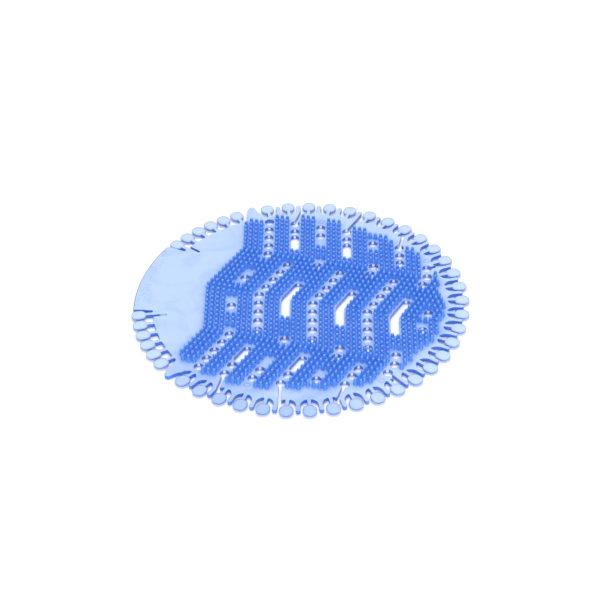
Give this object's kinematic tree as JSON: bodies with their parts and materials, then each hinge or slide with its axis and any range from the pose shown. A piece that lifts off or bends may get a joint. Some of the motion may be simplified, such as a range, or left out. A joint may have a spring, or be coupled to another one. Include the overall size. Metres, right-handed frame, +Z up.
{
  "type": "urinal deodorizer screen",
  "caption": "Round soft plastic mat for a urinal bowl, with rows of upright pins, drain holes and slots, a beaded rim and a smooth lifting tab.",
  "frame": {"origin": "middle of the rim circle on the flat underside, where the screen rests", "axes": "+Z up out of the pins, +X away from the smooth tab, +Y along the zigzag rows; the two sides of Y mirror each other"},
  "size_m": [0.1885, 0.1898, 0.0063],
  "materials": {
    "screen_plastic": "soft translucent blue moulded plastic, glossy, paler where it is thin"
  },
  "bodies": {
    "root": {"deodorizer_screen": "screen_plastic"}
  },
  "joints": []
}
